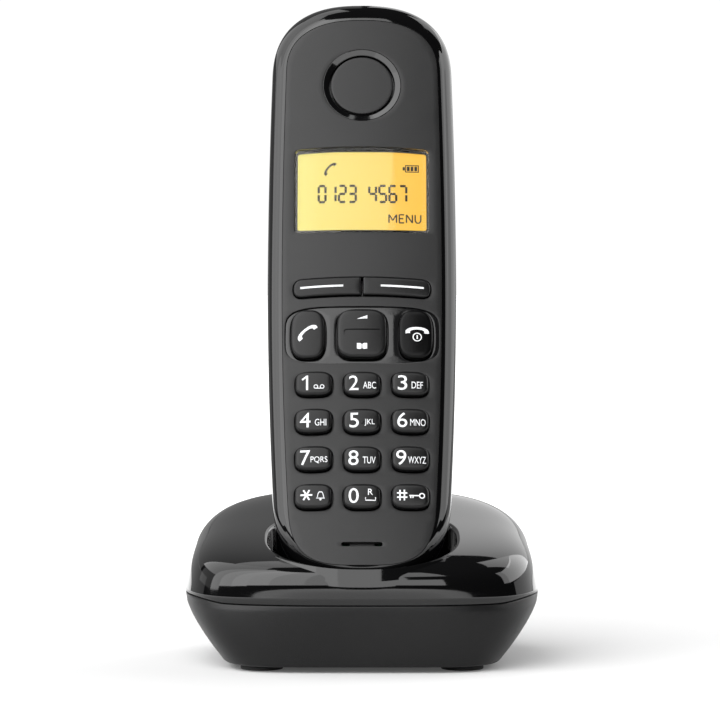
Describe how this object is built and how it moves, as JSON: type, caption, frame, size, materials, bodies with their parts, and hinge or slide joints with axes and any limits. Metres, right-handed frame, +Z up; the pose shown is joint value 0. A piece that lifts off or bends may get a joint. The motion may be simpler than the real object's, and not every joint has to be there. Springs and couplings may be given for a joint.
{
  "type": "cordless telephone handset with charging base",
  "caption": "Black cordless telephone handset with a lit display and keypad, leaning back in a rounded charging base.",
  "frame": {"origin": "centre of the bounding box in plan, on the plane of the feet", "axes": "+Z up, +X to the right as seen by a person facing the keypad, the keypad faces -Y"},
  "size_m": [0.0884, 0.0812, 0.1658],
  "materials": {
    "gloss_black": "high gloss black ABS",
    "satin_grey": "fine satin texture, dark grey",
    "key_grey": "soft satin keys with white legends",
    "rubber_black": "matte rubber",
    "moulded_black": "matte moulding",
    "board_green": "solder mask over glass fibre",
    "plated_steel": "tin plate",
    "contact_gold": "gold flash",
    "clear_lens": "clear polished acrylic",
    "lcd_amber": "amber backlit liquid crystal",
    "diffuser_white": "milky light guide",
    "silicone_grey": "silicone rubber",
    "cell_sleeve": "shrink sleeve"
  },
  "bodies": {
    "base": {"base_upper_shell": "gloss_black", "base_lower_shell": "satin_grey", "base_feet": "rubber_black", "base_screws": "plated_steel", "base_pcb": "board_green", "base_rf_shield": "plated_steel", "line_jack": "moulded_black", "power_jack": "moulded_black", "page_switch": "plated_steel", "charge_pin_block": "moulded_black", "charge_springs": "plated_steel"},
    "handset": {"handset_front_shell": "gloss_black", "handset_rear_shell": "gloss_black", "face_panel": "satin_grey", "earpiece_ring": "gloss_black", "earpiece_cap": "satin_grey", "receiver_capsule": "plated_steel", "display_window": "clear_lens", "lcd_panel": "lcd_amber", "lcd_backlight": "diffuser_white", "lcd_frame": "moulded_black", "function_key_plate": "gloss_black", "key_mat": "silicone_grey", "dome_sheet": "diffuser_white", "handset_pcb": "board_green", "handset_rf_shield": "plated_steel", "handset_antenna": "plated_steel", "microphone": "plated_steel", "ringer_speaker": "plated_steel", "battery_bay": "moulded_black", "battery_contacts": "plated_steel", "battery_cell_left": "cell_sleeve", "battery_cell_right": "cell_sleeve", "handset_charge_pads": "contact_gold", "handset_screws": "plated_steel"},
    "page_button": {"page_button": "satin_grey"},
    "charge_pin_left": {"charge_pin_left": "contact_gold"},
    "charge_pin_right": {"charge_pin_right": "contact_gold"},
    "battery_cover": {"battery_cover": "gloss_black"},
    "soft_key_left": {"soft_key_left": "key_grey"},
    "soft_key_right": {"soft_key_right": "key_grey"},
    "talk_key": {"talk_key": "key_grey"},
    "nav_key": {"nav_key": "key_grey"},
    "end_key": {"end_key": "key_grey"},
    "key_1": {"key_1": "key_grey"},
    "key_2": {"key_2": "key_grey"},
    "key_3": {"key_3": "key_grey"},
    "key_4": {"key_4": "key_grey"},
    "key_5": {"key_5": "key_grey"},
    "key_6": {"key_6": "key_grey"},
    "key_7": {"key_7": "key_grey"},
    "key_8": {"key_8": "key_grey"},
    "key_9": {"key_9": "key_grey"},
    "key_star": {"key_star": "key_grey"},
    "key_0": {"key_0": "key_grey"},
    "key_hash": {"key_hash": "key_grey"}
  },
  "joints": [
    {"name": "handset_lift", "type": "slide", "parent": "base", "child": "handset", "axis": [0, 0.3746, 0.9272], "range_m": [0, 0.07]},
    {"name": "battery_cover_release", "type": "slide", "parent": "handset", "child": "battery_cover", "axis": [0, 0.9272, -0.3746], "range_m": [0, 0.018]},
    {"name": "page_button_press", "type": "slide", "parent": "base", "child": "page_button", "axis": [0, -1, 0], "range_m": [0, 0.0008], "stiffness_N_per_m": 400},
    {"name": "charge_pin_left_press", "type": "slide", "parent": "base", "child": "charge_pin_left", "axis": [0, -0.3746, -0.9272], "range_m": [0, 0.0008], "stiffness_N_per_m": 400},
    {"name": "charge_pin_right_press", "type": "slide", "parent": "base", "child": "charge_pin_right", "axis": [0, -0.3746, -0.9272], "range_m": [0, 0.0008], "stiffness_N_per_m": 400},
    {"name": "soft_key_left_press", "type": "slide", "parent": "handset", "child": "soft_key_left", "axis": [0, 0.9272, -0.3746], "range_m": [0, 0.0006], "stiffness_N_per_m": 400},
    {"name": "soft_key_right_press", "type": "slide", "parent": "handset", "child": "soft_key_right", "axis": [0, 0.9272, -0.3746], "range_m": [0, 0.0006], "stiffness_N_per_m": 400},
    {"name": "talk_key_press", "type": "slide", "parent": "handset", "child": "talk_key", "axis": [0, 0.9272, -0.3746], "range_m": [0, 0.0006], "stiffness_N_per_m": 400},
    {"name": "nav_key_rock", "type": "hinge", "parent": "handset", "child": "nav_key", "pos_m": [0, -0.01107, 0.08043], "axis": [1, 0, 0], "range_deg": [-2.5, 2.5], "stiffness_Nm_per_rad": 0.05},
    {"name": "end_key_press", "type": "slide", "parent": "handset", "child": "end_key", "axis": [0, 0.9272, -0.3746], "range_m": [0, 0.0006], "stiffness_N_per_m": 400},
    {"name": "key_1_press", "type": "slide", "parent": "handset", "child": "key_1", "axis": [0, 0.9272, -0.3746], "range_m": [0, 0.0006], "stiffness_N_per_m": 400},
    {"name": "key_2_press", "type": "slide", "parent": "handset", "child": "key_2", "axis": [0, 0.9272, -0.3746], "range_m": [0, 0.0006], "stiffness_N_per_m": 400},
    {"name": "key_3_press", "type": "slide", "parent": "handset", "child": "key_3", "axis": [0, 0.9272, -0.3746], "range_m": [0, 0.0006], "stiffness_N_per_m": 400},
    {"name": "key_4_press", "type": "slide", "parent": "handset", "child": "key_4", "axis": [0, 0.9272, -0.3746], "range_m": [0, 0.0006], "stiffness_N_per_m": 400},
    {"name": "key_5_press", "type": "slide", "parent": "handset", "child": "key_5", "axis": [0, 0.9272, -0.3746], "range_m": [0, 0.0006], "stiffness_N_per_m": 400},
    {"name": "key_6_press", "type": "slide", "parent": "handset", "child": "key_6", "axis": [0, 0.9272, -0.3746], "range_m": [0, 0.0006], "stiffness_N_per_m": 400},
    {"name": "key_7_press", "type": "slide", "parent": "handset", "child": "key_7", "axis": [0, 0.9272, -0.3746], "range_m": [0, 0.0006], "stiffness_N_per_m": 400},
    {"name": "key_8_press", "type": "slide", "parent": "handset", "child": "key_8", "axis": [0, 0.9272, -0.3746], "range_m": [0, 0.0006], "stiffness_N_per_m": 400},
    {"name": "key_9_press", "type": "slide", "parent": "handset", "child": "key_9", "axis": [0, 0.9272, -0.3746], "range_m": [0, 0.0006], "stiffness_N_per_m": 400},
    {"name": "key_star_press", "type": "slide", "parent": "handset", "child": "key_star", "axis": [0, 0.9272, -0.3746], "range_m": [0, 0.0006], "stiffness_N_per_m": 400},
    {"name": "key_0_press", "type": "slide", "parent": "handset", "child": "key_0", "axis": [0, 0.9272, -0.3746], "range_m": [0, 0.0006], "stiffness_N_per_m": 400},
    {"name": "key_hash_press", "type": "slide", "parent": "handset", "child": "key_hash", "axis": [0, 0.9272, -0.3746], "range_m": [0, 0.0006], "stiffness_N_per_m": 400}
  ]
}
